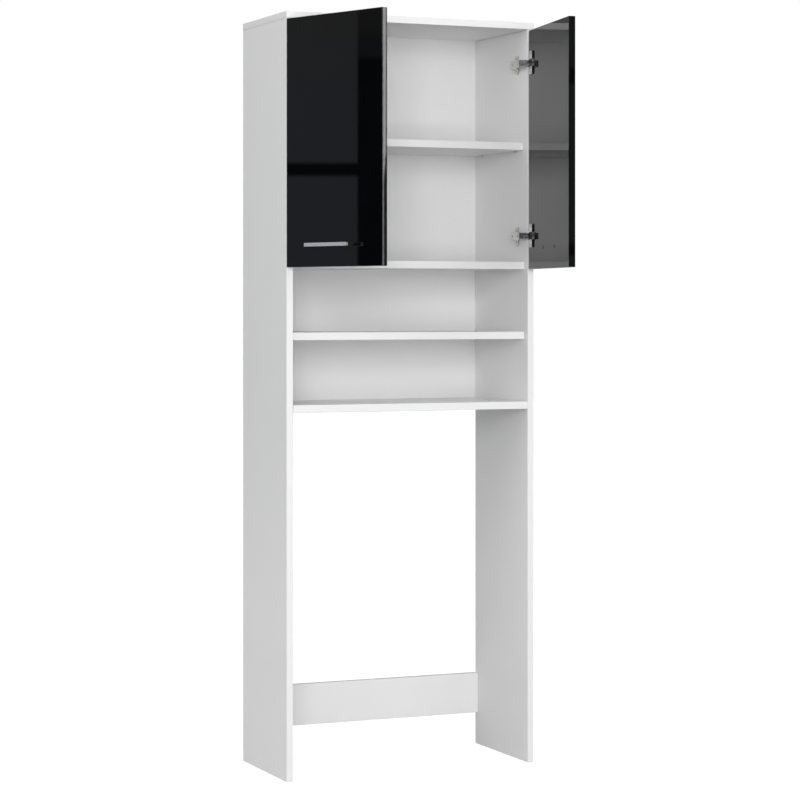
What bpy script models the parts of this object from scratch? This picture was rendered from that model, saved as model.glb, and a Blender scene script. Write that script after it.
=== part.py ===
"""Tall white bathroom cabinet on two side panels, with a two-door compartment above two open spaces.

Metres, +X to the right, +Y towards the wall, +Z up. The origin lies on the floor under the middle of the
object as it stands with its doors open. Plan positions near a side panel are given as u, the distance in
from that panel's inner face, and v, the distance in front of the carcass's front plane.
"""

import math

import bmesh
import bpy
from mathutils import Matrix, Vector

# Carcass
cabinet_width = 0.640
cabinet_height = 1.792
board_depth = 0.297
front_plane_y = 0.007
side_thickness = 0.016
top_thickness = 0.016
shelf_thickness = 0.018
machine_space_height = 0.857
lower_open_space_height = 0.151
upper_open_space_height = 0.1515
inner_shelf_place_share = 0.4827
fixed_shelf_setback = 0.0185
inner_shelf_setback = 0.0234
inner_shelf_rear_gap = 0.004
inner_shelf_end_gap = 0.001
back_thickness = 0.003
back_inset = 0.002
rear_rail_bottom = 0.080
rear_rail_height = 0.100
rear_rail_thickness = 0.016
edge_chamfer = 0.0006
seat_gap = 0.0003

# Dowels and shelf pins
dowel_radius = 0.004
dowel_length = 0.030
dowel_in_side = 0.010
dowel_from_front = 0.055
dowel_from_rear = 0.045
dowel_sides = 16
shelf_pin_radius = 0.0025
shelf_pin_length = 0.016
shelf_pin_in_side = 0.008
shelf_pin_from_edge = 0.040
bore_clearance = 0.0003

# Doors
door_thickness = 0.016
door_reveal = 0.0025
door_top_gap = 0.003
doors_middle_gap = 0.003
door_closed_gap = 0.0022
door_chamfer = 0.0008
left_door_opening = math.radians(68.5)
right_door_opening = math.radians(80.5)

# Handles
handle_length = 0.138
handle_section = 0.008
handle_projection = 0.028
handle_above_door_bottom = 0.0505
handle_hole_spacing = 0.088
handle_post_radius = 0.0035
handle_chamfer = 0.0006
handle_screw_radius = 0.002
handle_screw_grip = 0.012
handle_screw_head_radius = 0.004
handle_screw_head_height = 0.0022

# Hinge places and link geometry
hinge_from_door_end = 0.080
arm_link_pin = (0.0201, 0.0022)
arm_guide_pin = (0.0100, 0.0080)
cup_link_pin = (0.0098, 0.0015)
cup_guide_pin = (0.0098, 0.0033)
link_turn_share = -0.280
guide_turn_share = -0.395
pin_radius = 0.0011
pin_clearance = 0.0003
guide_pin_clearance = 0.0006
link_radius = 0.0024
link_layer_inner = 0.0006
link_layer_outer = 0.0062
link_knuckle_length = 0.0078
link_bend_along_share = 0.68
link_bend_aside = -0.0064
guide_bend_along_share = 0.61
guide_bend_aside = -0.0035

# Hinge arm and mounting plate
cheek_inner = 0.0066
cheek_outer = 0.0079
arm_eye_radius = 0.0024
arm_rear_from_front = 0.061
arm_front_from_front = 0.008
arm_web_u = 0.0153
arm_web_thickness = 0.0012
arm_shoe_thickness = 0.0022
arm_shoe_half_height = 0.0094
arm_shoe_chamfer = 0.0006
arm_cheek_foot_u = 0.009
arm_root_radius = 0.0036
plate_from_front = 0.0525
plate_thickness = 0.004
plate_wing_half_height = 0.0232
plate_wing_width = 0.0145
plate_body_length = 0.040
plate_body_width = 0.016
plate_block_length = 0.016

# Hinge cup
cup_from_door_edge = 0.022
cup_radius = 0.0172
cup_bore_radius = 0.0175
cup_wall = 0.0009
cup_depth = 0.0115
cup_bore_depth = 0.012
cup_pocket_half_height = 0.009
flange_thickness = 0.0015
flange_ring_radius = 0.0185
wing_thickness = 0.0033
wing_from_edge = 0.016
wing_width = 0.022
wing_half_height = 0.028
wing_corner_radius = 0.004
cup_cheek_foot = (0.0094, 0.007)
cup_sides = 32

# Shared by all pieces
small_sides = 16
cutter_overrun = 0.001
pin_overhang = 0.0002

# Sizes that follow from the ones above
half_width = cabinet_width / 2
inner_half_width = half_width - side_thickness
side_height = cabinet_height - top_thickness
open_shelf_underside = machine_space_height + shelf_thickness + lower_open_space_height
compartment_floor_underside = open_shelf_underside + shelf_thickness + upper_open_space_height
compartment_bottom = compartment_floor_underside + shelf_thickness
inner_shelf_underside = compartment_bottom + inner_shelf_place_share * (side_height - compartment_bottom)
back_face_y = front_plane_y + board_depth
door_bottom = compartment_floor_underside
door_top = side_height - door_top_gap
door_width = half_width - door_reveal - doors_middle_gap / 2
door_edge_u = door_reveal - side_thickness
sides = {"left": -1, "right": 1}
openings = {"left": left_door_opening, "right": right_door_opening}


def clear_scene():
    for obj in list(bpy.data.objects):
        bpy.data.objects.remove(obj, do_unlink=True)


def new_collection(name):
    made = bpy.data.collections.new(name)
    bpy.context.scene.collection.children.link(made)
    return made


def new_material(name, colour, roughness, metallic=0.0):
    made = bpy.data.materials.new(name)
    made.use_nodes = True
    shader = made.node_tree.nodes["Principled BSDF"]
    shader.inputs["Base Color"].default_value = (*colour, 1.0)
    shader.inputs["Roughness"].default_value = roughness
    shader.inputs["Metallic"].default_value = metallic
    return made


def new_object(bm, name, material=None, parent=None, location=(0, 0, 0)):
    """An object from a closed mesh. One without a material is a cutter, which is never drawn."""
    bmesh.ops.recalc_face_normals(bm, faces=bm.faces)
    mesh = bpy.data.meshes.new(name)
    bm.to_mesh(mesh)
    bm.free()
    obj = bpy.data.objects.new(name, mesh)
    obj.parent = parent
    obj.location = location
    if material is None:
        cutters.objects.link(obj)
        obj.hide_render = True
        obj.display_type = "WIRE"
    else:
        mesh.materials.append(material)
        cabinet.objects.link(obj)
    return obj


def block(name, low, high, material=None, parent=None, chamfer=0.0):
    """A box between two opposite corners, with its edges chamfered."""
    low, high = Vector(low), Vector(high)
    bm = bmesh.new()
    bmesh.ops.create_cube(bm, size=1, matrix=Matrix.Diagonal((*(high - low), 1)))
    obj = new_object(bm, name, material, parent, (low + high) / 2)
    if chamfer:
        edge = obj.modifiers.new("chamfer", "BEVEL")
        edge.width = chamfer
        edge.segments = 1
    return obj


def rod(name, radius, start, end, material=None, parent=None, around=small_sides):
    """A round bar between two points."""
    start, end = Vector(start), Vector(end)
    turn = Vector((0, 0, 1)).rotation_difference(end - start).to_matrix().to_4x4()
    bm = bmesh.new()
    bmesh.ops.create_cone(
        bm,
        cap_ends=True,
        segments=around,
        radius1=radius,
        radius2=radius,
        depth=(end - start).length,
        matrix=turn,
    )
    obj = new_object(bm, name, material, parent, (start + end) / 2)
    smooth(obj)
    return obj


def hull(name, rounds, axis, low, high, material=None, parent=None, around=small_sides):
    """A plate between low and high along an axis, whose outline wraps the circles in rounds.

    Each round is the pair of its centre in the plane across the axis, and its radius.
    """
    bm = bmesh.new()
    for centre, radius in rounds:
        for step in range(around):
            angle = math.tau * (step + 0.5) / around
            flat = [centre[0] + radius * math.cos(angle), centre[1] + radius * math.sin(angle)]
            for level in (low, high):
                point = flat[:]
                point.insert("xyz".index(axis), level)
                bm.verts.new(point)
    wrapped = bmesh.ops.convex_hull(bm, input=bm.verts)
    inside = {*wrapped["geom_interior"], *wrapped["geom_unused"]}
    bmesh.ops.delete(bm, geom=[v for v in inside if isinstance(v, bmesh.types.BMVert)], context="VERTS")
    return new_object(bm, name, material, parent)


def smooth(obj):
    obj.data.shade_smooth()
    obj.data.set_sharp_from_angle(angle=math.radians(35))


def combine(target, tools, operation):
    """Adds a Boolean modifier to the target for each tool."""
    for tool in tools:
        change = target.modifiers.new(tool.name, "BOOLEAN")
        change.operation = operation
        change.object = tool


def join(target, *tools):
    combine(target, tools, "UNION")


def cut(target, *tools):
    combine(target, tools, "DIFFERENCE")


def plan(side, point):
    """World x and y of a plan point (u, v) beside one side panel."""
    return side * (inner_half_width - point[0]), front_plane_y - point[1]


def offset(side, point, centre):
    """x and y from one plan point to another, in the layout with the doors closed."""
    return side * (centre[0] - point[0]), centre[1] - point[1]


def turned(point, centre, angle):
    """A plan point turned about another, in the sense that opens a door."""
    moved = Matrix.Rotation(angle, 2) @ (Vector(point) - Vector(centre))
    return tuple(moved + Vector(centre))


def door_point(along, deep):
    """Plan point on a closed door, from its hinge edge along it and from its inner face into it."""
    return door_edge_u + along, door_closed_gap + deep


def axis_empty(name, side, point, angle):
    """An empty on a vertical hinge axis, turned by the angle that the piece on it has at rest."""
    empty = bpy.data.objects.new(name, None)
    empty.location = (*plan(side, point), 0)
    empty.rotation_euler = (0, 0, side * angle)
    cabinet.objects.link(empty)
    return empty


def make_side_panel(label, side):
    return block(
        f"{label}_side_panel",
        (side * inner_half_width, front_plane_y, 0),
        (side * half_width, back_face_y, side_height - seat_gap),
        white_board,
        chamfer=edge_chamfer,
    )


def make_board(name, half_length, front, rear, underside, thickness, material):
    return block(
        name,
        (-half_length, front, underside),
        (half_length, rear, underside + thickness),
        material,
        chamfer=edge_chamfer,
    )


def make_fixed_shelf(name, underside, setback):
    return make_board(
        name,
        inner_half_width - seat_gap,
        front_plane_y + setback,
        back_face_y,
        underside,
        shelf_thickness,
        white_board,
    )


def make_dowel(name, entry, direction, face_board, end_board):
    """A dowel across a joint, and its bore in the board it enters through the face and in the other's end.

    The entry is the point where its axis crosses the joint, and the direction points into face_board.
    """
    entry, direction = Vector(entry), Vector(direction)
    start = entry + direction * dowel_in_side
    end = entry - direction * (dowel_length - dowel_in_side)
    rod(name, dowel_radius, start, end, beech, around=dowel_sides)
    spare = direction * bore_clearance
    bore = rod(f"{name}_bore", dowel_radius + bore_clearance, start + spare, end - spare, around=dowel_sides)
    cut(face_board, bore)
    cut(end_board, bore)


def make_carcass():
    panels = {label: make_side_panel(label, side) for label, side in sides.items()}
    top = make_board("top_panel", half_width, front_plane_y, back_face_y, side_height, top_thickness, white_board)
    shelves = {
        "bottom_shelf": (machine_space_height, 0),
        "open_shelf": (open_shelf_underside, fixed_shelf_setback),
        "compartment_floor": (compartment_floor_underside, fixed_shelf_setback),
    }
    rows = {"front": front_plane_y + dowel_from_front, "rear": back_face_y - dowel_from_rear}
    for name, (underside, setback) in shelves.items():
        shelf = make_fixed_shelf(name, underside, setback)
        for label, side in sides.items():
            for row, y in rows.items():
                entry = (side * inner_half_width, y, underside + shelf_thickness / 2)
                make_dowel(f"{name}_{label}_{row}_dowel", entry, (side, 0, 0), panels[label], shelf)
    for label, side in sides.items():
        for row, y in rows.items():
            entry = (side * (half_width - side_thickness / 2), y, side_height)
            make_dowel(f"top_{label}_{row}_dowel", entry, (0, 0, 1), top, panels[label])
    make_rear_rail(panels)
    make_inner_shelf(panels)
    make_back_panel()


def make_rear_rail(panels):
    rail = make_board(
        "rear_rail",
        inner_half_width - seat_gap,
        back_face_y - rear_rail_thickness,
        back_face_y,
        rear_rail_bottom,
        rear_rail_height,
        white_board,
    )
    y = back_face_y - rear_rail_thickness / 2
    z = rear_rail_bottom + rear_rail_height / 2
    for label, side in sides.items():
        make_dowel(
            f"rear_rail_{label}_dowel", (side * inner_half_width, y, z), (side, 0, 0), panels[label], rail
        )


def make_inner_shelf(panels):
    """The loose shelf, and the four pins that it lies on."""
    front = front_plane_y + inner_shelf_setback
    rear = back_face_y - inner_shelf_rear_gap
    make_board(
        "inner_shelf",
        inner_half_width - inner_shelf_end_gap,
        front,
        rear,
        inner_shelf_underside,
        shelf_thickness,
        white_board,
    )
    z = inner_shelf_underside - seat_gap - shelf_pin_radius
    for label, side in sides.items():
        for row, y in {"front": front + shelf_pin_from_edge, "rear": rear - shelf_pin_from_edge}.items():
            name = f"shelf_pin_{label}_{row}"
            outer = side * (inner_half_width + shelf_pin_in_side)
            inner = outer - side * shelf_pin_length
            rod(name, shelf_pin_radius, (outer, y, z), (inner, y, z), steel)
            deepest = outer + side * bore_clearance
            bore = rod(f"{name}_bore", shelf_pin_radius + bore_clearance, (deepest, y, z), (inner, y, z))
            cut(panels[label], bore)


def make_back_panel():
    front = back_face_y + seat_gap
    make_board(
        "back_panel",
        half_width - back_inset,
        front,
        front + back_thickness,
        machine_space_height,
        cabinet_height - back_inset - machine_space_height,
        white_hardboard,
    )


def make_door_set(label, side):
    """A door with its handle, its two hinges and the empties on their axes."""
    opening = openings[label]
    link_pin, guide_pin = door_point(*cup_link_pin), door_point(*cup_guide_pin)
    link_angle = link_turn_share * opening
    axes = {
        "door": axis_empty(f"{label}_door_axis", side, turned(link_pin, arm_link_pin, link_angle), opening),
        "link": axis_empty(f"{label}_link_axis", side, arm_link_pin, link_angle),
        "guide": axis_empty(f"{label}_guide_axis", side, arm_guide_pin, guide_turn_share * opening),
    }

    def on_door(along, deep, z):
        """A place on the door, measured from the empty that carries it."""
        return (*offset(side, door_point(along, deep), link_pin), z)

    door = block(
        f"{label}_door",
        on_door(0, 0, door_bottom),
        on_door(door_width, door_thickness, door_top),
        black_gloss,
        axes["door"],
        door_chamfer,
    )
    make_handle(label, door, axes["door"], on_door)
    for level, z in {"upper": door_top - hinge_from_door_end, "lower": door_bottom + hinge_from_door_end}.items():
        name = f"{label}_{level}_hinge"
        make_plate(f"{name}_plate", side, z)
        make_arm(f"{name}_arm", side, z)
        make_cup(f"{name}_cup", door, axes["door"], on_door, z)
        make_link(
            f"{name}_link",
            offset(side, link_pin, arm_link_pin),
            (link_bend_along_share, side * link_bend_aside),
            (z + link_layer_inner, z + link_layer_outer),
            pin_clearance,
            axes["link"],
            knuckle_low=z - link_layer_outer,
        )
        make_link(
            f"{name}_guide",
            offset(side, guide_pin, arm_guide_pin),
            (guide_bend_along_share, side * guide_bend_aside),
            (z - link_layer_outer, z - link_layer_inner),
            guide_pin_clearance,
            axes["guide"],
        )


def make_handle(label, door, axis, on_door):
    """A square bar on two posts, held by a screw through the door into each post."""
    middle, z = door_width / 2, door_bottom + handle_above_door_bottom
    outer = door_thickness + handle_projection
    handle = block(
        f"{label}_handle",
        on_door(middle - handle_length / 2, outer - handle_section, z - handle_section / 2),
        on_door(middle + handle_length / 2, outer, z + handle_section / 2),
        brushed_metal,
        axis,
        handle_chamfer,
    )
    for place, share in {"inner": -1, "outer": 1}.items():
        along = middle - share * handle_hole_spacing / 2
        name = f"{label}_handle_{place}_screw"
        post = rod(
            f"{name}_post",
            handle_post_radius,
            on_door(along, door_thickness + seat_gap, z),
            on_door(along, outer - handle_section / 2, z),
            parent=axis,
        )
        tip = door_thickness + handle_screw_grip
        head_top = -seat_gap - handle_screw_head_height
        bore = rod(
            f"{name}_bore",
            handle_screw_radius + bore_clearance,
            on_door(along, head_top, z),
            on_door(along, tip + bore_clearance, z),
            parent=axis,
        )
        join(handle, post)
        cut(handle, bore)
        cut(door, bore)
        screw = rod(
            name,
            handle_screw_head_radius,
            on_door(along, head_top, z),
            on_door(along, -seat_gap, z),
            steel,
            axis,
        )
        shank = rod(
            f"{name}_shank",
            handle_screw_radius,
            on_door(along, head_top / 2, z),
            on_door(along, tip, z),
            parent=axis,
        )
        join(screw, shank)


def make_plate(name, side, z):
    """The winged plate on the side panel, with the block that the hinge arm slides over."""
    face, _ = plan(side, (seat_gap, 0))
    raised, _ = plan(side, (seat_gap + plate_thickness, 0))
    y = front_plane_y + plate_from_front
    half_wing = plate_wing_width / 2
    wing_ends = [
        ((y, z + end * (plate_wing_half_height - half_wing)), half_wing) for end in (-1, 1)
    ]
    plate = hull(name, wing_ends, "x", face, raised, steel)
    body = block(
        f"{name}_body",
        (face, y - plate_body_length / 2, z - plate_body_width / 2),
        (raised, y + plate_body_length / 2, z + plate_body_width / 2),
    )
    top, _ = plan(side, (arm_web_u - seat_gap, 0))
    block_half_width = cheek_inner - seat_gap
    rider = block(
        f"{name}_block",
        (face, y - plate_block_length / 2, z - block_half_width),
        (top, y + plate_block_length / 2, z + block_half_width),
    )
    join(plate, body, rider)


def make_arm(name, side, z):
    """A channel over the plate's block, whose two cheeks run forward and carry the link pins."""
    front, rear = -arm_front_from_front, -arm_rear_from_front
    top_u = arm_web_u + arm_web_thickness
    arm = block(
        name,
        (*plan(side, (arm_cheek_foot_u, rear)), z - cheek_outer),
        (*plan(side, (top_u, front)), z + cheek_outer),
        steel,
    )
    root = ((arm_cheek_foot_u + top_u) / 2, front)
    rounds = [
        (plan(side, root), arm_root_radius),
        (plan(side, arm_link_pin), arm_eye_radius),
        (plan(side, arm_guide_pin), arm_eye_radius),
    ]
    nose = hull(f"{name}_nose", rounds, "z", z - cheek_outer, z + cheek_outer)
    channel = block(
        f"{name}_channel",
        (*plan(side, (arm_cheek_foot_u - cutter_overrun, rear - cutter_overrun)), z - cheek_inner),
        (*plan(side, (arm_web_u, front)), z + cheek_inner),
    )
    reach = arm_link_pin[1] + arm_guide_pin[1] + arm_eye_radius
    slot = block(
        f"{name}_slot",
        (*plan(side, (0, front - cutter_overrun)), z - cheek_inner),
        (*plan(side, (2 * arm_link_pin[0] + arm_eye_radius, reach)), z + cheek_inner),
    )
    shoe = block(
        f"{name}_shoe",
        (*plan(side, (arm_web_u, rear)), z - arm_shoe_half_height),
        (*plan(side, (top_u + arm_shoe_thickness, front)), z + arm_shoe_half_height),
        chamfer=arm_shoe_chamfer,
    )
    join(arm, nose)
    cut(arm, channel, slot)
    join(arm, shoe)
    pin_end = (cheek_inner + cheek_outer) / 2
    pin_starts = {"link": z + pin_end, "guide": z - link_layer_inner + pin_overhang}
    for label, point in (("link", arm_link_pin), ("guide", arm_guide_pin)):
        place = plan(side, point)
        pin = rod(f"{name}_{label}_pin", pin_radius, (*place, pin_starts[label]), (*place, z - pin_end))
        join(arm, pin)


def make_cup(name, door, axis, on_door, z):
    """A flanged cup let into the door, with two cheeks inside that carry the other ends of the links."""
    middle = cup_from_door_edge
    face = -seat_gap - flange_thickness
    cup = rod(
        name,
        cup_radius,
        on_door(middle, face, z),
        on_door(middle, cup_depth, z),
        steel,
        axis,
        cup_sides,
    )
    centre = on_door(middle, 0, z)[0]
    levels = (on_door(0, face, z)[1], on_door(0, -seat_gap, z)[1])
    ring = hull(f"{name}_ring", [((centre, z), flange_ring_radius)], "y", *levels, parent=axis, around=cup_sides)
    corners = [
        ((on_door(along, 0, z)[0], z + way * (wing_half_height - wing_corner_radius)), wing_corner_radius)
        for along in (wing_from_edge + wing_corner_radius, wing_from_edge + wing_width - wing_corner_radius)
        for way in (-1, 1)
    ]
    top = -seat_gap - wing_thickness
    levels = (on_door(0, top, z)[1], on_door(0, -seat_gap, z)[1])
    wings = hull(f"{name}_wings", corners, "y", *levels, parent=axis)
    hollow = rod(
        f"{name}_hollow",
        cup_radius - cup_wall,
        on_door(middle, top - cutter_overrun, z),
        on_door(middle, cup_depth - cup_wall, z),
        parent=axis,
        around=cup_sides,
    )
    pocket = block(
        f"{name}_pocket",
        on_door(0, top - cutter_overrun, z - cup_pocket_half_height),
        on_door(2 * middle, cup_depth, z + cup_pocket_half_height),
        parent=axis,
    )
    combine(hollow, [pocket], "INTERSECT")
    join(cup, ring, wings)
    cut(cup, hollow)
    pin_start, pin_end = link_layer_inner - pin_overhang, (cheek_inner + cheek_outer) / 2
    for label, place, way in (("link", cup_link_pin, 1), ("guide", cup_guide_pin, -1)):
        rounds = [(on_door(*point, z)[:2], link_radius) for point in (place, cup_cheek_foot)]
        cheek = hull(
            f"{name}_{label}_cheek", rounds, "z", z + way * cheek_inner, z + way * cheek_outer, parent=axis
        )
        pin = rod(
            f"{name}_{label}_pin",
            pin_radius,
            on_door(*place, z + way * pin_start),
            on_door(*place, z + way * pin_end),
            parent=axis,
        )
        join(cup, cheek, pin)
    bore = rod(
        f"{name}_bore",
        cup_bore_radius,
        on_door(middle, -cutter_overrun, z),
        on_door(middle, cup_bore_depth, z),
        parent=axis,
        around=cup_sides,
    )
    cut(door, bore)


def make_link(name, far_pin, bend_place, levels, far_clearance, axis, knuckle_low=None):
    """A bent link from the pin at its empty to a far pin, with an eye round each.

    The place of its bend is a share of the way to the far pin and a distance to the side of that line. A link
    with a knuckle is widened down to knuckle_low along its first stretch.
    """
    low, high = levels
    far_pin = Vector(far_pin)
    along_share, aside = bend_place
    bend = far_pin * along_share + Vector((-far_pin.y, far_pin.x)).normalized() * aside
    near = Vector((0, 0))
    link = hull(name, [(near, link_radius), (bend, link_radius)], "z", low, high, steel, axis)
    tip = hull(f"{name}_tip", [(bend, link_radius), (far_pin, link_radius)], "z", low, high, parent=axis)
    join(link, tip)
    near_low = low
    if knuckle_low is not None:
        near_low = knuckle_low
        end = bend.normalized() * (link_knuckle_length - link_radius)
        rounds = [(near, link_radius), (end, link_radius)]
        knuckle = hull(f"{name}_knuckle", rounds, "z", knuckle_low, high, parent=axis)
        join(link, knuckle)
    for label, place, clearance, start in (
        ("near", near, pin_clearance, near_low),
        ("far", far_pin, far_clearance, low),
    ):
        eye = rod(
            f"{name}_{label}_eye",
            pin_radius + clearance,
            (*place, start - cutter_overrun),
            (*place, high + cutter_overrun),
            parent=axis,
        )
        cut(link, eye)


clear_scene()
cabinet = new_collection("bathroom_cabinet")
cutters = new_collection("cutters")
white_board = new_material("white_board", (0.80, 0.80, 0.79), 0.35)
white_hardboard = new_material("white_hardboard", (0.78, 0.78, 0.76), 0.5)
black_gloss = new_material("black_gloss", (0.008, 0.009, 0.011), 0.05)
brushed_metal = new_material("brushed_metal", (0.62, 0.64, 0.65), 0.35, 1.0)
steel = new_material("nickel_plated_steel", (0.60, 0.60, 0.59), 0.3, 1.0)
beech = new_material("beech", (0.55, 0.38, 0.22), 0.6)

make_carcass()
for side_label, side_sign in sides.items():
    make_door_set(side_label, side_sign)
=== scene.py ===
"""Looks of a tall white bathroom cabinet with two gloss-black doors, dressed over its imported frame."""

import math

import bmesh
import bpy
from mathutils import Matrix, Vector


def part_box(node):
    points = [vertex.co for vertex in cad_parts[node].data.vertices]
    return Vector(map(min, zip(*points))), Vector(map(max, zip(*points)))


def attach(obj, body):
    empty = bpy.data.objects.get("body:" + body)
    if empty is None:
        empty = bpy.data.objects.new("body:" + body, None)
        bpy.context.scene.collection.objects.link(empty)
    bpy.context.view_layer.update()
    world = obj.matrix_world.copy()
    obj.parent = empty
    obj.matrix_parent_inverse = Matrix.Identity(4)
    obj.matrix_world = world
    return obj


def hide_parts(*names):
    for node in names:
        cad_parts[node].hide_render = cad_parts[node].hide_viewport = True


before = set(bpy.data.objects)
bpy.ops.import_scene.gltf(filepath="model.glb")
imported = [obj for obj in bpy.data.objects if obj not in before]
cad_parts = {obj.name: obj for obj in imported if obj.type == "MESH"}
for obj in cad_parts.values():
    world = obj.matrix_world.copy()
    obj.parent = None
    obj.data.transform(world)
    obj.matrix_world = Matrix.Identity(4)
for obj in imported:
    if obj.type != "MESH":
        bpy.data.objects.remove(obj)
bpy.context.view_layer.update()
scene = bpy.context.scene
for leftover in [o for o in scene.objects if o.type in ("CAMERA", "LIGHT")]:
    bpy.data.objects.remove(leftover, do_unlink=True)

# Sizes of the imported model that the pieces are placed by, in metres
CABINET_WIDTH = 0.640
CABINET_HEIGHT = 1.792
SIDE_THICKNESS = 0.016
HALF_WIDTH = CABINET_WIDTH / 2
INNER_HALF = HALF_WIDTH - SIDE_THICKNESS
SHELF_THICKNESS = 0.018
FRONT_Y = 0.007
REAR_Y = 0.304
SIDE_HEIGHT = 1.776
DOOR_WIDTH = 0.316
DOOR_THICKNESS = 0.016
DOOR_BOTTOM = 1.1955
DOOR_TOP = 1.773
HINGE_FROM_DOOR_END = 0.080
HINGE_LEVELS = {"upper": DOOR_TOP - HINGE_FROM_DOOR_END, "lower": DOOR_BOTTOM + HINGE_FROM_DOOR_END}
SHELF_BOTTOMS = {"bottom_shelf": 0.857, "open_shelf": 1.026, "compartment_floor": 1.1955}
INSET_FRONT_Y = FRONT_Y + 0.0185
SHELF_FRONTS = {"bottom_shelf": FRONT_Y, "open_shelf": INSET_FRONT_Y, "compartment_floor": INSET_FRONT_Y}
HANDLE_HEIGHT = 0.0505
HANDLE_HOLE_REACH = 0.044
SIDES = {"left": -1, "right": 1}
OPENINGS = {"left": math.radians(68.5), "right": math.radians(80.5)}

# Pins of a hinge with the door closed: inward from the side panel's inner face, and forward of its front edge
ARM_PIN = Vector((0.0201, 0.0022))
CUP_PIN = Vector((-0.0037, 0.0037))
# The cup's pin in its door: from the hinge edge, and into the board from its inner face
CUP_PIN_IN_DOOR = (0.0098, 0.0015)
# A link's turn against the cabinet, as a share of its door's turn
LINK_TURN_SHARE = 0.280

# Cup bores in a door: the centre's distance from the hinge edge, and the bore's size
BORE_CENTRE = 0.022
BORE_RADIUS = 0.0175
BORE_DEPTH = 0.012

# Hinge screws: radius and height of the head, and depth of its cross recess
PLATE_SCREW = (0.0036, 0.0009, 0.0008)
ARM_SCREW = (0.0034, 0.0006, 0.0006)
CUP_SCREW = (0.0038, 0.0007, 0.0007)

# Edges that bend by more degrees than this stay sharp in the shading
BOARD_ANGLE = 35
SCREW_ANGLE = 42
NAIL_ANGLE = 50

# Facets round the turned shapes
BORE_SIDES = 64
SCREW_SIDES = 28
NAIL_SIDES = 16


# Node helpers
class Nodes:
    """A node tree and short ways to add nodes to it."""

    def __init__(self, tree):
        self.tree = tree

    def add(self, kind, **settings):
        node = self.tree.nodes.new(kind)
        for key, value in settings.items():
            if hasattr(node, key):
                setattr(node, key, value)
            else:
                node.inputs[key].default_value = value
        return node

    def link(self, source, target):
        self.tree.links.new(source, target)

    def spread(self, source, low, high, start=0.25, end=0.75):
        """The source's values from start to end, laid out from low to high."""
        made = self.add("ShaderNodeMapRange")
        for name, value in (("From Min", start), ("From Max", end), ("To Min", low), ("To Max", high)):
            made.inputs[name].default_value = value
        self.link(source, made.inputs["Value"])
        return made.outputs["Result"]

    def mix(self, factor, first, second):
        """A colour between two, each given as a colour or as another node's output."""
        made = self.add("ShaderNodeMix", data_type="RGBA")
        self.link(factor, made.inputs["Factor"])
        for socket, value in (("A", first), ("B", second)):
            target = next(s for s in made.inputs if s.name == socket and s.type == "RGBA")
            if isinstance(value, tuple):
                target.default_value = (*value, 1)
            else:
                self.link(value, target)
        return next(s for s in made.outputs if s.type == "RGBA")

    def math(self, operation, first, second):
        made = self.add("ShaderNodeMath", operation=operation)
        for socket, value in zip(made.inputs, (first, second)):
            if isinstance(value, (int, float)):
                socket.default_value = value
            else:
                self.link(value, socket)
        return made.outputs[0]

    def shown(self):
        """1 for a ray from the camera, or one that is mirrored or passes through glass, and 0 for the others."""
        path = self.add("ShaderNodeLightPath")
        mirrored = self.math("MAXIMUM", path.outputs["Is Glossy Ray"], path.outputs["Is Transmission Ray"])
        return self.math("MAXIMUM", path.outputs["Is Camera Ray"], mirrored)


class Shader(Nodes):
    """A material and short ways to build its look."""

    def __init__(self, name):
        self.material = bpy.data.materials.new(name)
        self.material.use_nodes = True
        super().__init__(self.material.node_tree)
        self.bsdf = self.tree.nodes["Principled BSDF"]
        self.output = self.tree.nodes["Material Output"]

    def place(self, scale=(1, 1, 1), turn=0.0):
        """Object coordinates in metres, turned about the vertical axis and then stretched."""
        coords = self.add("ShaderNodeTexCoord")
        turned = self.add("ShaderNodeVectorRotate", rotation_type="Z_AXIS", Angle=turn)
        self.link(coords.outputs["Object"], turned.inputs["Vector"])
        scaled = self.add("ShaderNodeMapping")
        scaled.inputs["Scale"].default_value = scale
        self.link(turned.outputs[0], scaled.inputs["Vector"])
        return scaled.outputs[0]

    def noise(self, place, scale, detail=2.0, roughness=0.5, distortion=0.0):
        made = self.add(
            "ShaderNodeTexNoise", Scale=scale, Detail=detail, Roughness=roughness, Distortion=distortion
        )
        self.link(place, made.inputs["Vector"])
        return made.outputs["Fac"]

    def bump(self, height, distance, strength=1.0, normal=None):
        made = self.add("ShaderNodeBump", Strength=strength, Distance=distance)
        self.link(height, made.inputs["Height"])
        if normal is not None:
            self.link(normal, made.inputs["Normal"])
        return made.outputs["Normal"]

    def rounded(self, radius):
        """Normals that round the edges off, and a mask that is 1 on flat ground and falls to 0 on an edge."""
        on_edge, on_flat = 0.86, 0.995
        bevel = self.add("ShaderNodeBevel", samples=6, Radius=radius)
        true = self.add("ShaderNodeNewGeometry")
        dot = self.add("ShaderNodeVectorMath", operation="DOT_PRODUCT")
        self.link(bevel.outputs[0], dot.inputs[0])
        self.link(true.outputs["Normal"], dot.inputs[1])
        return bevel.outputs[0], self.spread(dot.outputs["Value"], 0, 1, on_edge, on_flat)

    def finish(self, colour, roughness, normal, **plain):
        for name, value in (("Base Color", colour), ("Roughness", roughness), ("Normal", normal)):
            self.link(value, self.bsdf.inputs[name])
        for name, value in plain.items():
            self.bsdf.inputs[name].default_value = value
        return self.material

    def emission(self, strength):
        glow = self.add("ShaderNodeEmission")
        self.link(strength, glow.inputs["Strength"])
        return glow

    def sum(self, first, second):
        """Two shaders added to each other."""
        both = self.add("ShaderNodeAddShader")
        self.link(first.outputs[0], both.inputs[0])
        self.link(second.outputs[0], both.inputs[1])
        return both.outputs[0]


# Materials
def shade(colour, factor):
    return tuple(min(1.0, factor * c) for c in colour)


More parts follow.
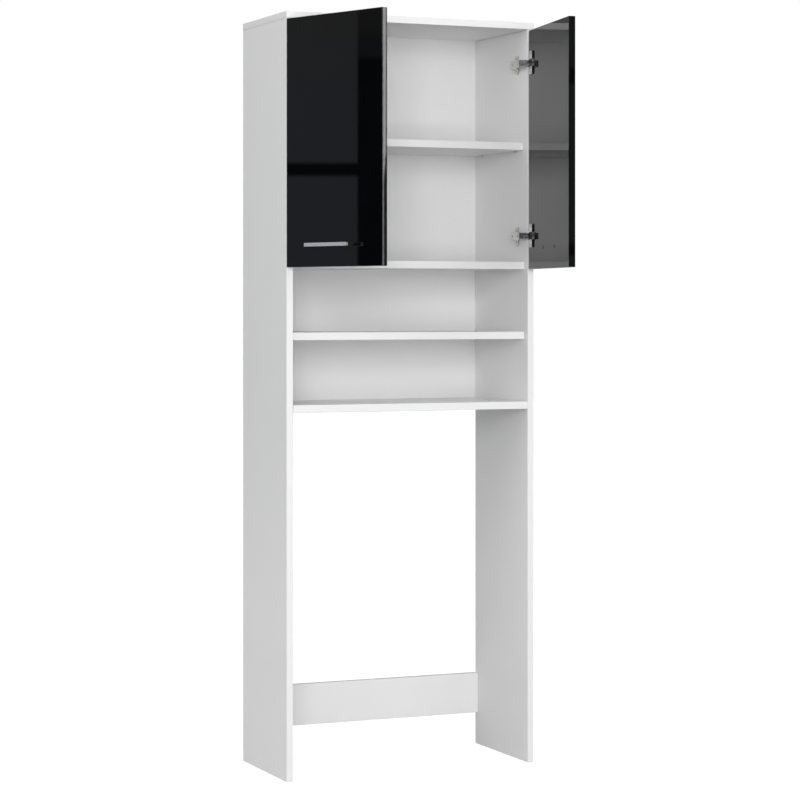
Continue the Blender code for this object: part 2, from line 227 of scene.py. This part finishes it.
def white_foil(name, tint, low_roughness, high_roughness):
    """White melamine on chipboard: a pearled foil, faint clouds in the paper, and edges painted slightly grey as
    shade.
    """
    look = Shader(name)
    place = look.place()
    clouds = look.spread(look.noise(place, 4, detail=3, roughness=0.6), 0, 1)
    paper = look.mix(clouds, shade(tint, 0.985), tint)
    flecks = look.spread(look.noise(place, 260), 0, 1, 0.3, 0.7)
    paper = look.mix(look.math("MULTIPLY", flecks, 0.35), paper, shade(tint, 0.97))
    normal, flat = look.rounded(0.0007)
    # Painted shade: the rounded edges are darkened.
    paper = look.mix(flat, shade(tint, 0.93), paper)
    pearl = look.noise(place, 900, roughness=0.55)
    smudges = look.spread(look.noise(place, 11, detail=4, roughness=0.6), low_roughness, high_roughness)
    relief = look.bump(pearl, 0.00006, strength=0.5, normal=normal)
    return look.finish(paper, smudges, relief, IOR=1.5)


def raw_hardboard():
    """The rough back of a hardboard panel: brown pressed fibres with a fine screen pattern."""
    look = Shader("raw_hardboard")
    place = look.place()
    fibres = look.noise(place, 420, detail=4, roughness=0.7, distortion=0.6)
    clumps = look.noise(place, 35, detail=3, roughness=0.6)
    brown = look.mix(look.spread(fibres, 0, 1), (0.235, 0.142, 0.075), (0.42, 0.29, 0.175))
    brown = look.mix(look.spread(clumps, 0, 0.45), brown, (0.30, 0.19, 0.105))
    rough = look.spread(fibres, 0.68, 0.9)
    return look.finish(brown, rough, look.bump(fibres, 0.00025, strength=0.6))


def black_lacquer(name, low_roughness, high_roughness, waviness):
    """Gloss-black lacquer: almost black, clear reflections, a trace of orange peel and of wiping marks."""
    look = Shader(name)
    place = look.place()
    wiped = look.noise(look.place((1, 1, 0.35)), 17, detail=4, roughness=0.6, distortion=0.4)
    depth = look.mix(look.spread(look.noise(place, 7), 0, 1), (0.0013, 0.0014, 0.0017), (0.0024, 0.0026, 0.0031))
    peel = look.noise(place, 90, detail=1)
    rough = look.spread(wiped, low_roughness, high_roughness)
    return look.finish(depth, rough, look.bump(peel, waviness), IOR=1.42)


def brushed_steel(name, turn):
    """Satin metal brushed along a bar that lies at an angle in plan, with a highlight painted on its edges."""
    look = Shader(name)
    along = look.place((9, 1400, 1400), turn)
    lines = look.noise(along, 1, detail=3, roughness=0.65)
    broad = look.noise(look.place((2, 160, 160), turn), 1)
    normal, flat = look.rounded(0.0005)
    tone = look.mix(look.spread(lines, 0, 1), (0.40, 0.415, 0.435), (0.49, 0.505, 0.53))
    # Painted highlight: the rounded edges are a lighter grey than the brushed faces.
    tone = look.mix(flat, (0.60, 0.61, 0.63), tone)
    rough = look.math("ADD", look.spread(lines, 0.30, 0.40), look.spread(broad, 0, 0.08))
    relief = look.bump(lines, 0.00002, strength=0.6, normal=normal)
    return look.finish(tone, rough, relief, Metallic=0.45)


def nickel_plate(name, colour, low_roughness, high_roughness):
    """Nickel-plated pressed steel: slight waves from the press, faint stains, and a highlight painted on the edges."""
    look = Shader(name)
    place = look.place()
    stain = look.noise(place, 420, detail=4, roughness=0.7)
    normal, flat = look.rounded(0.0004)
    tone = look.mix(look.spread(stain, 0, 1), shade(colour, 0.92), colour)
    # Painted highlight: the rounded edges are lighter.
    tone = look.mix(flat, shade(colour, 1.1), tone)
    rough = look.spread(look.noise(place, 420), low_roughness, high_roughness)
    relief = look.bump(look.noise(place, 700), 0.00002, strength=0.5, normal=normal)
    return look.finish(tone, rough, relief, Metallic=1.0)


def beech_wood():
    """Turned beech: pale brown with short dark flecks along the grain."""
    look = Shader("beech_dowel")
    place = look.place()
    grain = look.noise(place, 900, detail=4, roughness=0.65, distortion=1.2)
    slow = look.noise(place, 120)
    tone = look.mix(look.spread(grain, 0, 1), (0.44, 0.27, 0.14), (0.66, 0.47, 0.29))
    tone = look.mix(look.spread(slow, 0, 0.35), tone, (0.50, 0.33, 0.19))
    return look.finish(tone, look.spread(grain, 0.55, 0.7), look.bump(grain, 0.00008, strength=0.6))


white = white_foil("white_melamine", (0.84, 0.84, 0.84), 0.36, 0.44)
edge_white = white_foil("white_edge_band", (0.85, 0.85, 0.85), 0.30, 0.38)
back_white = white_foil("white_back_lacquer", (0.83, 0.83, 0.83), 0.42, 0.5)
hardboard = raw_hardboard()
gloss = black_lacquer("black_gloss_lacquer", 0.006, 0.02, 0.0000012)
brushed = {label: brushed_steel(f"brushed_{label}_handle", -SIDES[label] * OPENINGS[label]) for label in SIDES}
nickel = nickel_plate("nickel_plated_steel", (0.66, 0.65, 0.63), 0.14, 0.26)
screw_metal = nickel_plate("zinc_plated_screw", (0.52, 0.52, 0.52), 0.22, 0.36)
link_metal = nickel_plate("dark_pressed_steel", (0.25, 0.25, 0.26), 0.24, 0.36)
pin_metal = nickel_plate("pale_zinc_pin", (0.80, 0.80, 0.80), 0.4, 0.5)
# A black material for the pads that paint the shade under the hinge cups' wings.
shade_pad_black = black_lacquer("painted_shade_black", 0.35, 0.5, 0.000004)
wood = beech_wood()


# Mesh helpers
def finish_mesh(bm, name, material, body=None, matrix=None, sharp_angle=BOARD_ANGLE):
    """A piece made of the mesh, riding on its body if one is given. Edges sharper than the angle stay sharp."""
    mesh = bpy.data.meshes.new(name)
    bmesh.ops.recalc_face_normals(bm, faces=bm.faces)
    bm.to_mesh(mesh)
    bm.free()
    mesh.shade_smooth()
    mesh.set_sharp_from_angle(angle=math.radians(sharp_angle))
    mesh.materials.append(material)
    piece = bpy.data.objects.new(name, mesh)
    scene.collection.objects.link(piece)
    if matrix is not None:
        piece.matrix_world = matrix
    if body:
        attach(piece, body)
    return piece


def rounded_box(low, high, radius, segments):
    """A box between two corners with rounded edges."""
    low, high = Vector(low), Vector(high)
    bm = bmesh.new()
    bmesh.ops.create_cube(bm, size=1)
    for vert in bm.verts:
        vert.co = Vector((low[i] + (vert.co[i] + 0.5) * (high[i] - low[i]) for i in range(3)))
    bmesh.ops.bevel(
        bm, geom=bm.edges[:], offset=radius, offset_type="OFFSET", segments=segments, profile=0.5, affect="EDGES"
    )
    return bm


def lathe(profile, around):
    """A closed solid turned about the z axis from (radius, height) points that start and end on the axis."""
    bm = bmesh.new()
    rings = []
    for radius, height in profile:
        if radius == 0:
            rings.append([bm.verts.new((0, 0, height))])
        else:
            angles = [math.tau * step / around for step in range(around)]
            rings.append([bm.verts.new((radius * math.cos(a), radius * math.sin(a), height)) for a in angles])
    for lower, upper in zip(rings, rings[1:]):
        for step in range(around):
            following = (step + 1) % around
            if len(lower) == 1:
                bm.faces.new((lower[0], upper[step], upper[following]))
            elif len(upper) == 1:
                bm.faces.new((lower[step], lower[following], upper[0]))
            else:
                bm.faces.new((lower[step], lower[following], upper[following], upper[step]))
    return bm


def bake_shape(piece):
    """Makes the modifiers' result the piece's own mesh, and puts the piece's place into it too."""
    shape = bpy.context.evaluated_depsgraph_get()
    mesh = bpy.data.meshes.new_from_object(piece.evaluated_get(shape))
    piece.modifiers.clear()
    mesh.transform(piece.matrix_world)
    piece.data = mesh
    piece.matrix_world = Matrix.Identity(4)


def even_out(piece):
    """Keeps large flat faces flat in the shading, so that only the rounded edges bend a reflection."""
    same_plane, far_larger = 0.9998, 5
    same_bend = math.cos(math.radians(BOARD_ANGLE))
    mesh = piece.data
    around = [[] for _ in mesh.vertices]
    for face in mesh.polygons:
        for vertex in face.vertices:
            around[vertex].append(face)
    flat = []
    for faces in around:
        widest = max(faces, key=lambda face: face.area)
        others = [face.area for face in faces if face.normal.dot(widest.normal) < same_plane]
        flat.append(widest.normal.copy() if others and widest.area > far_larger * max(others) else None)
    normals = [corner.vector.copy() for corner in mesh.corner_normals]
    for face in mesh.polygons:
        for corner, vertex in zip(face.loop_indices, face.vertices):
            if flat[vertex] is not None and face.normal.dot(flat[vertex]) > same_bend:
                normals[corner] = flat[vertex]
    mesh.normals_split_custom_set(normals)
    return piece


def carve(piece, tools):
    """Cuts the tools out of the piece for good, and removes them."""
    for tool in tools:
        change = piece.modifiers.new(tool.name, "BOOLEAN")
        change.operation = "DIFFERENCE"
        change.solver = "EXACT"
        change.object = tool
    bake_shape(piece)
    for tool in tools:
        bpy.data.objects.remove(tool, do_unlink=True)
    piece.data.set_sharp_from_angle(angle=math.radians(BOARD_ANGLE))
    even_out(piece)


def door_frame(label):
    """The matrix of a door: x along it from its hinge edge, y from its inner face to its outer face, z up."""
    side, opening = SIDES[label], OPENINGS[label]
    pin = Matrix.Rotation(-LINK_TURN_SHARE * opening, 2) @ (CUP_PIN - ARM_PIN) + ARM_PIN
    place = Matrix.Translation((side * (INNER_HALF - pin.x), FRONT_Y - pin.y, 0))
    turn = Matrix.Rotation(side * opening, 4, "Z")
    axes = Matrix(((-side, 0, 0, 0), (0, -1, 0, 0), (0, 0, 1, 0), (0, 0, 0, 1)))
    along, deep = CUP_PIN_IN_DOOR
    return place @ turn @ axes @ Matrix.Translation((-along, -deep, 0))


def screw_head(name, size, body, matrix):
    """A flat screw head with a cross recess, whose seat lies at the origin of the matrix and whose top points up z."""
    radius, height, recess = size
    first_turn, sunk, above, corner = 0.3, 0.0004, 0.001, 0.00012
    profile = [(0, -sunk), (radius * 0.7, -sunk), (radius, 0), (radius * 0.94, height * 0.6)]
    profile += [(radius * 0.62, height), (0, height)]
    piece = finish_mesh(lathe(profile, SCREW_SIDES), name, screw_metal, matrix=matrix, sharp_angle=SCREW_ANGLE)
    reach, half_slot = radius * 0.56, radius * 0.11
    tools = []
    for index in range(2):
        bar = rounded_box((-reach, -half_slot, height - recess), (reach, half_slot, height + above), corner, 1)
        turned = matrix @ Matrix.Rotation(first_turn + index * math.pi / 2, 4, "Z")
        tools.append(finish_mesh(bar, f"cross_{index}", screw_metal, matrix=turned))
    carve(piece, tools)
    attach(piece, body)


def capped_screw(name, body, matrix):
    """A handle screw whose head, at the origin of the matrix, is under a flat black cap that points up z."""
    shank_radius, shank_length = 0.002, 0.0263
    cap_radius, cap_height = 0.004, 0.0005
    profile = [(0, -shank_length), (shank_radius, -shank_length), (shank_radius, 0), (cap_radius * 0.98, 0)]
    profile += [(cap_radius, cap_height * 0.1), (cap_radius, cap_height * 0.85)]
    profile += [(cap_radius * 0.96, cap_height), (0, cap_height)]
    return even_out(finish_mesh(lathe(profile, SCREW_SIDES), name, gloss, body, matrix, SCREW_ANGLE))


# Doors
def make_door(label):
    over, screw_sunk, corner = 0.001, 0.0003, 0.001
    matrix = door_frame(label)
    board = rounded_box((0, 0, DOOR_BOTTOM), (DOOR_WIDTH, DOOR_THICKNESS, DOOR_TOP), corner, 4)
    door = finish_mesh(board, f"{label}_door_panel", gloss, matrix=matrix)
    bores = []
    for level, z in HINGE_LEVELS.items():
        hole = lathe([(0, -over), (BORE_RADIUS, -over), (BORE_RADIUS, BORE_DEPTH), (0, BORE_DEPTH)], BORE_SIDES)
        turn = Matrix.Translation((BORE_CENTRE, 0, z)) @ Matrix.Rotation(-math.pi / 2, 4, "X")
        bores.append(finish_mesh(hole, f"{level}_bore", gloss, matrix=matrix @ turn))
    carve(door, bores)
    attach(door, f"{label}_door_leaf")
    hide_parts(f"{label}_door")
    middle = DOOR_WIDTH / 2
    for place, along in (("inner", middle + HANDLE_HOLE_REACH), ("outer", middle - HANDLE_HOLE_REACH)):
        seat = Matrix.Translation((along, -screw_sunk, DOOR_BOTTOM + HANDLE_HEIGHT))
        seat = matrix @ seat @ Matrix.Rotation(math.pi / 2, 4, "X")
        name = f"{label}_handle_{place}_screw"
        made = capped_screw(f"{name}_cap", f"{label}_door_leaf", seat)
        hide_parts(name)


# Hinge fittings
def make_shade_pad(label, level, z):
    """A black pad under a hinge cup's wings, a hair wider than the wings and open over the cup: painted shade under
    the wings.
    """
    matrix = door_frame(label)
    near, far, top, foot, reach, corner = 0.0158, 0.0382, 0.0027, 0.0002, 0.0282, 0.0003
    body = rounded_box((near, -top, z - reach), (far, -foot, z + reach), corner, 1)
    pad = finish_mesh(body, f"{label}_{level}_cup_shade_pad", shade_pad_black, matrix=matrix)
    near, far, above, below, reach = 0.004, 0.0374, 0.004, 0.002, 0.0092
    opening = rounded_box((near, -above, z - reach), (far, below, z + reach), corner, 1)
    carve(pad, [finish_mesh(opening, "pad_opening", shade_pad_black, matrix=matrix)])
    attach(pad, f"{label}_door_leaf")


def make_hinge_fittings(label, level, z):
    """The screws of a hinge's plate, arm and cup, and a black pad under the cup's wings that paints their shade."""
    side = SIDES[label]
    ways = {"lower": -1, "upper": 1}
    inward = Matrix.Rotation(-side * math.pi / 2, 4, "Y")
    plate_inward, plate_back, plate_reach = 0.0043, 0.0525, 0.0142
    for way, sign in ways.items():
        place = Matrix.Translation((side * (INNER_HALF - plate_inward), FRONT_Y + plate_back, z + sign * plate_reach))
        screw_head(f"{label}_{level}_plate_screw_{way}", PLATE_SCREW, "carcass", place @ inward)
    arm_inward = 0.0187
    for end, back in (("front", 0.0185), ("rear", 0.0455)):
        place = Matrix.Translation((side * (INNER_HALF - arm_inward), FRONT_Y + back, z))
        screw_head(f"{label}_{level}_arm_screw_{end}", ARM_SCREW, "carcass", place @ inward)
    # Painted shade: a black pad under the cup's wings.
    make_shade_pad(label, level, z)
    cup_along, cup_out, cup_reach = 0.0275, 0.0036, 0.0225
    for way, sign in ways.items():
        place = Matrix.Translation((cup_along, -cup_out, z + sign * cup_reach)) @ Matrix.Rotation(math.pi / 2, 4, "X")
        name = f"{label}_{level}_cup_screw_{way}"
        screw_head(name, CUP_SCREW, f"{label}_door_leaf", door_frame(label) @ place)


# Edge bands
def make_band(name, low, high):
    corner = 0.00018
    even_out(finish_mesh(rounded_box(low, high, corner, 2), name, edge_white, "carcass"))


def make_bands():
    proud, sunk, inset = 0.0004, 0.0003, 0.0004
    foot_gap, head_gap, end_gap = 0.0005, 0.0008, 0.0006
    front, into_front = FRONT_Y - proud, FRONT_Y + sunk
    top_low, top_high = SIDE_HEIGHT + inset, CABINET_HEIGHT - inset
    for label, side in SIDES.items():
        near, far = sorted((side * (INNER_HALF + inset), side * (HALF_WIDTH - inset)))
        make_band(f"{label}_side_front_band", (near, front, foot_gap), (far, into_front, SIDE_HEIGHT - head_gap))
        near, far = sorted((side * (HALF_WIDTH - sunk), side * (HALF_WIDTH + proud)))
        make_band(f"top_{label}_end_band", (near, FRONT_Y + inset, top_low), (far, REAR_Y - inset, top_high))
    edge = HALF_WIDTH - inset
    make_band("top_front_band", (-edge, front, top_low), (edge, into_front, top_high))
    edge = INNER_HALF - end_gap
    for name, y in SHELF_FRONTS.items():
        z = SHELF_BOTTOMS[name]
        make_band(f"{name}_front_band", (-edge, y - proud, z + inset), (edge, y + sunk, z + SHELF_THICKNESS - inset))
    low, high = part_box("inner_shelf")
    near, far = (low.x + inset, low.y - proud, low.z + inset), (high.x - inset, low.y + sunk, high.z - inset)
    make_band("inner_shelf_front_band", near, far)


# Back panel
def nail_places():
    """Where the back panel is nailed: a row into each fixed board, and one up each side panel."""
    first, pitch, count, into_top = -0.27, 0.09, 7, 0.007
    levels = [z + SHELF_THICKNESS / 2 for z in SHELF_BOTTOMS.values()] + [SIDE_HEIGHT + into_top]
    places = [(first + pitch * step, z) for z in levels for step in range(count)]
    column, first, pitch, count = 0.3115, 0.90, 0.085, 11
    return places + [(side * column, first + pitch * step) for side in SIDES.values() for step in range(count)]


def make_back():
    """Hardboard, white inside and raw outside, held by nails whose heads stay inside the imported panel's box."""
    head_room, corner, facing_front = 0.0004, 0.0003, -0.9
    low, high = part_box("back_panel")
    rear = high.y - head_room
    bm = rounded_box((low.x, low.y, low.z), (high.x, rear, high.z), corner, 1)
    panel = finish_mesh(bm, "back_board", back_white, "carcass")
    panel.data.materials.append(hardboard)
    for face in panel.data.polygons:
        face.material_index = 0 if face.normal.y < facing_front else 1
    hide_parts("back_panel")
    nail = [(0, -0.002), (0.0011, -0.002), (0.0011, -0.0002), (0.0028, -0.0001), (0.0028, 0.0001)]
    nail += [(0.0016, 0.0003), (0, 0.00036)]
    for index, (x, z) in enumerate(nail_places()):
        seat = Matrix.Translation((x, rear, z)) @ Matrix.Rotation(-math.pi / 2, 4, "X")
        bm = lathe(nail, NAIL_SIDES)
        finish_mesh(bm, f"back_nail_{index + 1}", screw_metal, "carcass", seat, NAIL_ANGLE)


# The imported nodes' materials
def look_of(name):
    if name.endswith("dowel"):
        return wood
    if name.endswith("_handle"):
        return brushed[name.split("_")[0]]
    if name.endswith(("_link", "_guide")):
        return link_metal
    if name.startswith("shelf_pin"):
        return pin_metal
    if "hinge" in name or "screw" in name:
        return nickel
    if name.endswith("_door"):
        return gloss
    if name == "back_panel":
        return back_white
    return white


for node_name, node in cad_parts.items():
    node.data.materials.clear()
    node.data.materials.append(look_of(node_name))

make_bands()
make_back()
for side_name in SIDES:
    make_door(side_name)
    for level_name, level_z in HINGE_LEVELS.items():
        make_hinge_fittings(side_name, level_name, level_z)

# Camera: a pinhole fitted to the photograph, in pixels, its place in metres and its turn in radians
PICTURE_SIZE = 800
FOCAL_LENGTH = 2482.252
HORIZON = 306.2
CENTRE_OFFSET = -1.0
SENSOR_WIDTH = 36
CAMERA_PLACE = (-2.3736, -5.3845, 1.1056)
CAMERA_TURN = -0.41

camera = bpy.data.cameras.new("camera")
camera.sensor_fit = "HORIZONTAL"
camera.sensor_width = SENSOR_WIDTH
camera.lens = FOCAL_LENGTH / PICTURE_SIZE * SENSOR_WIDTH
camera.shift_x = CENTRE_OFFSET / PICTURE_SIZE
camera.shift_y = -(PICTURE_SIZE / 2 - HORIZON) / PICTURE_SIZE
camera.clip_end = 100
camera_object = bpy.data.objects.new("camera", camera)
camera_object.location = CAMERA_PLACE
camera_object.rotation_euler = (math.radians(90), 0, CAMERA_TURN)
scene.collection.objects.link(camera_object)
scene.camera = camera_object

# Studio: lengths in metres, and the world's strength where it only lights
LAMP_AIM = Vector((0, 0, 1.2))
FLOOR_SIZE = 20
FLOOR_GLOW = 0.9
WORLD_LEVEL = 0.49
WALL_RADIUS = 8
WALL_FOOT, WALL_TOP = 0.02, 5.6
WALL_STEPS = 180


def lamp(name, place, size, power, mirrored=True):
    light = bpy.data.lights.new(name, "AREA")
    light.shape = "RECTANGLE"
    light.size, light.size_y = size
    light.energy = power
    made = bpy.data.objects.new(name, light)
    made.location = place
    made.rotation_euler = (LAMP_AIM - Vector(place)).to_track_quat("-Z", "Y").to_euler()
    made.visible_glossy = mirrored
    scene.collection.objects.link(made)


def make_floor():
    """A floor that glows where it is seen, and lights the cabinet only as a grey one would."""
    bm = bmesh.new()
    bmesh.ops.create_grid(bm, x_segments=1, y_segments=1, size=FLOOR_SIZE)
    look = Shader("studio_floor")
    look.tree.nodes.remove(look.bsdf)
    seen = look.shown()
    diffuse = look.add("ShaderNodeBsdfDiffuse")
    look.link(look.mix(seen, (0.3, 0.3, 0.3), (0.35, 0.35, 0.35)), diffuse.inputs["Color"])
    glow = look.emission(look.math("MULTIPLY", seen, FLOOR_GLOW))
    look.link(look.sum(diffuse, glow), look.output.inputs["Surface"])
    finish_mesh(bm, "studio_floor", look.material, None)


def make_world():
    """White where it is seen or mirrored, and a dimmer light on everything else."""
    world = bpy.data.worlds.new("studio")
    scene.world = world
    world.use_nodes = True
    sky = Nodes(world.node_tree)
    background = sky.tree.nodes["Background"]
    sky.link(sky.spread(sky.shown(), WORLD_LEVEL, 1, 0, 1), background.inputs["Strength"])
    background.inputs["Color"].default_value = (1, 1, 1, 1)


def wall_pattern(look):
    """The wall's dim and bright light, as two strengths, and the height that the dim light's colour follows.

    Places on the wall are an angle and a height: degrees from straight in front of the cabinet, positive on the
    camera's side of it, and metres.
    """
    coords = look.add("ShaderNodeTexCoord")
    split = look.add("ShaderNodeSeparateXYZ")
    look.link(coords.outputs["Object"], split.inputs[0])
    left = look.math("MULTIPLY", split.outputs["X"], -1.0)
    ahead = look.math("MULTIPLY", split.outputs["Y"], -1.0)
    angle = look.math("MULTIPLY", look.math("ARCTAN2", left, ahead), 180 / math.pi)
    height = split.outputs["Z"]

    def between(value, low, high, soft_low, soft_high):
        up = look.spread(value, 0, 1, low - soft_low, low + soft_low)
        down = look.spread(value, 1, 0, high - soft_high, high + soft_high)
        return look.math("MULTIPLY", up, down)

    def area(angles, heights, angle_soft, height_soft):
        return look.math("MULTIPLY", between(angle, *angles, *angle_soft), between(height, *heights, *height_soft))

    def inverse(value):
        return look.math("SUBTRACT", 1.0, value)

    # Dark window bars: a post, fainter in its upper part, and three cross bars
    post_angles, post_soft, post_top = (110.4, 112.366), (0.3, 0.045), 2.452
    post = area(post_angles, (0, post_top), post_soft, (0.1, 0.02))
    faint = area(post_angles, (post_top, 3.4), post_soft, (0.02, 0.1))
    faint = look.math("MULTIPLY", faint, look.spread(height, 0.72, 0.58, 2.56, 2.62))
    clear = look.math("SUBTRACT", inverse(post), faint)
    for bar in (
        area((112.2, 121), (1.811, 1.882), (0.1, 0.5), (0.012, 0.012)),
        area((-13, -7), (2.300, 2.386), (0.3, 0.3), (0.01, 0.01)),
        area((-13, -7), (1.375, 1.440), (0.3, 0.3), (0.01, 0.01)),
    ):
        clear = look.math("MULTIPLY", clear, inverse(bar))
    far_side, camera_side = look.spread(angle, 0.3, 0.62, -90, -70), look.spread(angle, 1.0, 1.6, 40, 90)
    dim = look.math("MULTIPLY", clear, look.math("MULTIPLY", far_side, camera_side))

    # One tall light, with a slightly slanted far edge and a narrow dark seam beside that edge
    power, edge_soft = 7.6, 0.015
    far_edge = look.spread(height, -63.583, -63.679, 1.80, 1.97)
    past_far_edge = look.spread(look.math("SUBTRACT", angle, far_edge), 0, 1, -edge_soft, edge_soft)
    before_near_edge = look.spread(angle, 1, 0, -61.6, -61.0)
    below_top = look.spread(height, 1, 0, 3.5, 3.7)
    seam = between(angle, -63.555, -63.42, 0.008, 0.04)
    bright = look.math("MULTIPLY", past_far_edge, before_near_edge)
    for factor in (inverse(seam), below_top, power):
        bright = look.math("MULTIPLY", bright, factor)
    return dim, bright, height


def make_wall():
    """A round dim wall that only mirrors show, as in a darkened studio. It fades out towards its top."""
    look = Shader("studio_wall")
    look.tree.nodes.remove(look.bsdf)
    dim, bright, height = wall_pattern(look)
    glow = look.emission(dim)
    low_tint, high_tint = (0.264, 0.286, 0.322), (0.288, 0.291, 0.294)
    look.link(look.mix(look.spread(height, 0, 1, 2.2, 2.6), low_tint, high_tint), glow.inputs["Color"])
    veil = look.add("ShaderNodeMixShader")
    look.link(look.spread(height, 1, 0, 3.7, 5.5), veil.inputs[0])
    look.link(look.add("ShaderNodeBsdfTransparent").outputs[0], veil.inputs[1])
    look.link(look.sum(glow, look.emission(bright)), veil.inputs[2])
    look.link(veil.outputs[0], look.output.inputs["Surface"])
    bm = bmesh.new()
    columns = []
    for step in range(WALL_STEPS):
        turn = math.tau * step / WALL_STEPS
        x, y = WALL_RADIUS * math.cos(turn), WALL_RADIUS * math.sin(turn)
        columns.append([bm.verts.new((x, y, z)) for z in (WALL_FOOT, WALL_TOP)])
    for first, second in zip(columns, columns[1:] + columns[:1]):
        bm.faces.new((first[0], second[0], second[1], first[1]))
    wall = finish_mesh(bm, "studio_wall", look.material)
    wall.visible_camera = False
    wall.visible_diffuse = False
    wall.visible_shadow = False
    wall.visible_transmission = False


make_floor()
make_world()
make_wall()
# Each lamp's place, size and power, in metres and watts
lamp("key_beside_camera", (-2.4, -5.6, 2.2), (2.0, 1.5), 132, mirrored=False)
lamp("low_beside_camera", (-2.4, -5.4, 0.5), (2.0, 1.0), 29, mirrored=False)
lamp("low_front", (-0.4, -5.6, 0.9), (2.5, 1.5), 46, mirrored=False)
lamp("high_front_left", (-4.0, -3.6, 3.8), (2.5, 2.0), 22)
lamp("high_front_right", (2.4, -4.6, 3.8), (2.5, 2.0), 36)
lamp("high_left", (-5.0, -1.0, 3.8), (2.5, 2.0), 56)
lamp("overhead", (0.0, -2.0, 4.8), (3.0, 2.0), 12)

scene.view_settings.view_transform = "Standard"
